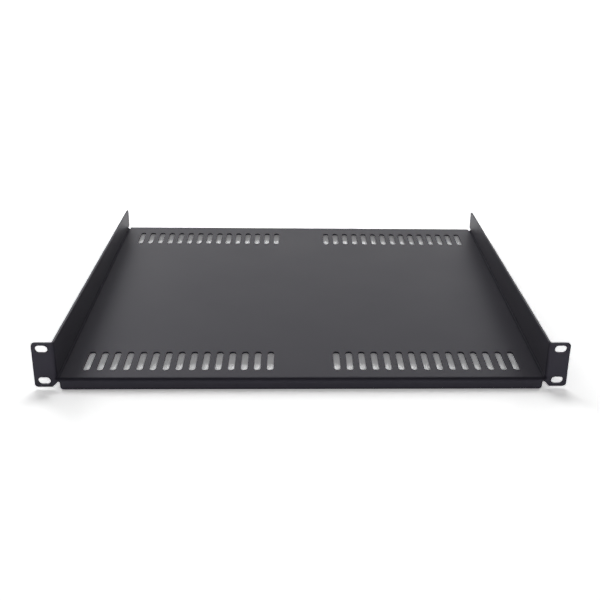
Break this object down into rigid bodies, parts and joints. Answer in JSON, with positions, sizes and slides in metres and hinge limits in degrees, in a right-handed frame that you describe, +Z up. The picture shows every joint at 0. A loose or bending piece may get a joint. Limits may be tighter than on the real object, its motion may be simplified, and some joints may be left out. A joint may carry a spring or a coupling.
{
  "type": "cantilever rack shelf",
  "caption": "Folded sheet-steel tray with side walls, slotted mounting ears and vent slots, which bolts to the front posts of a 19-inch rack and carries equipment without rack ears.",
  "frame": {"origin": "middle of the four ear slots, in the plane of the ears' back faces, which meet the front of the rack's posts", "axes": "+X to the right seen from the front, +Y from the front to the back, +Z up"},
  "size_m": [0.4826, 0.4, 0.0468],
  "materials": {
    "black_powder_coat": "matt black powder coat on sheet steel"
  },
  "bodies": {
    "root": {"shelf": "black_powder_coat"}
  },
  "joints": []
}
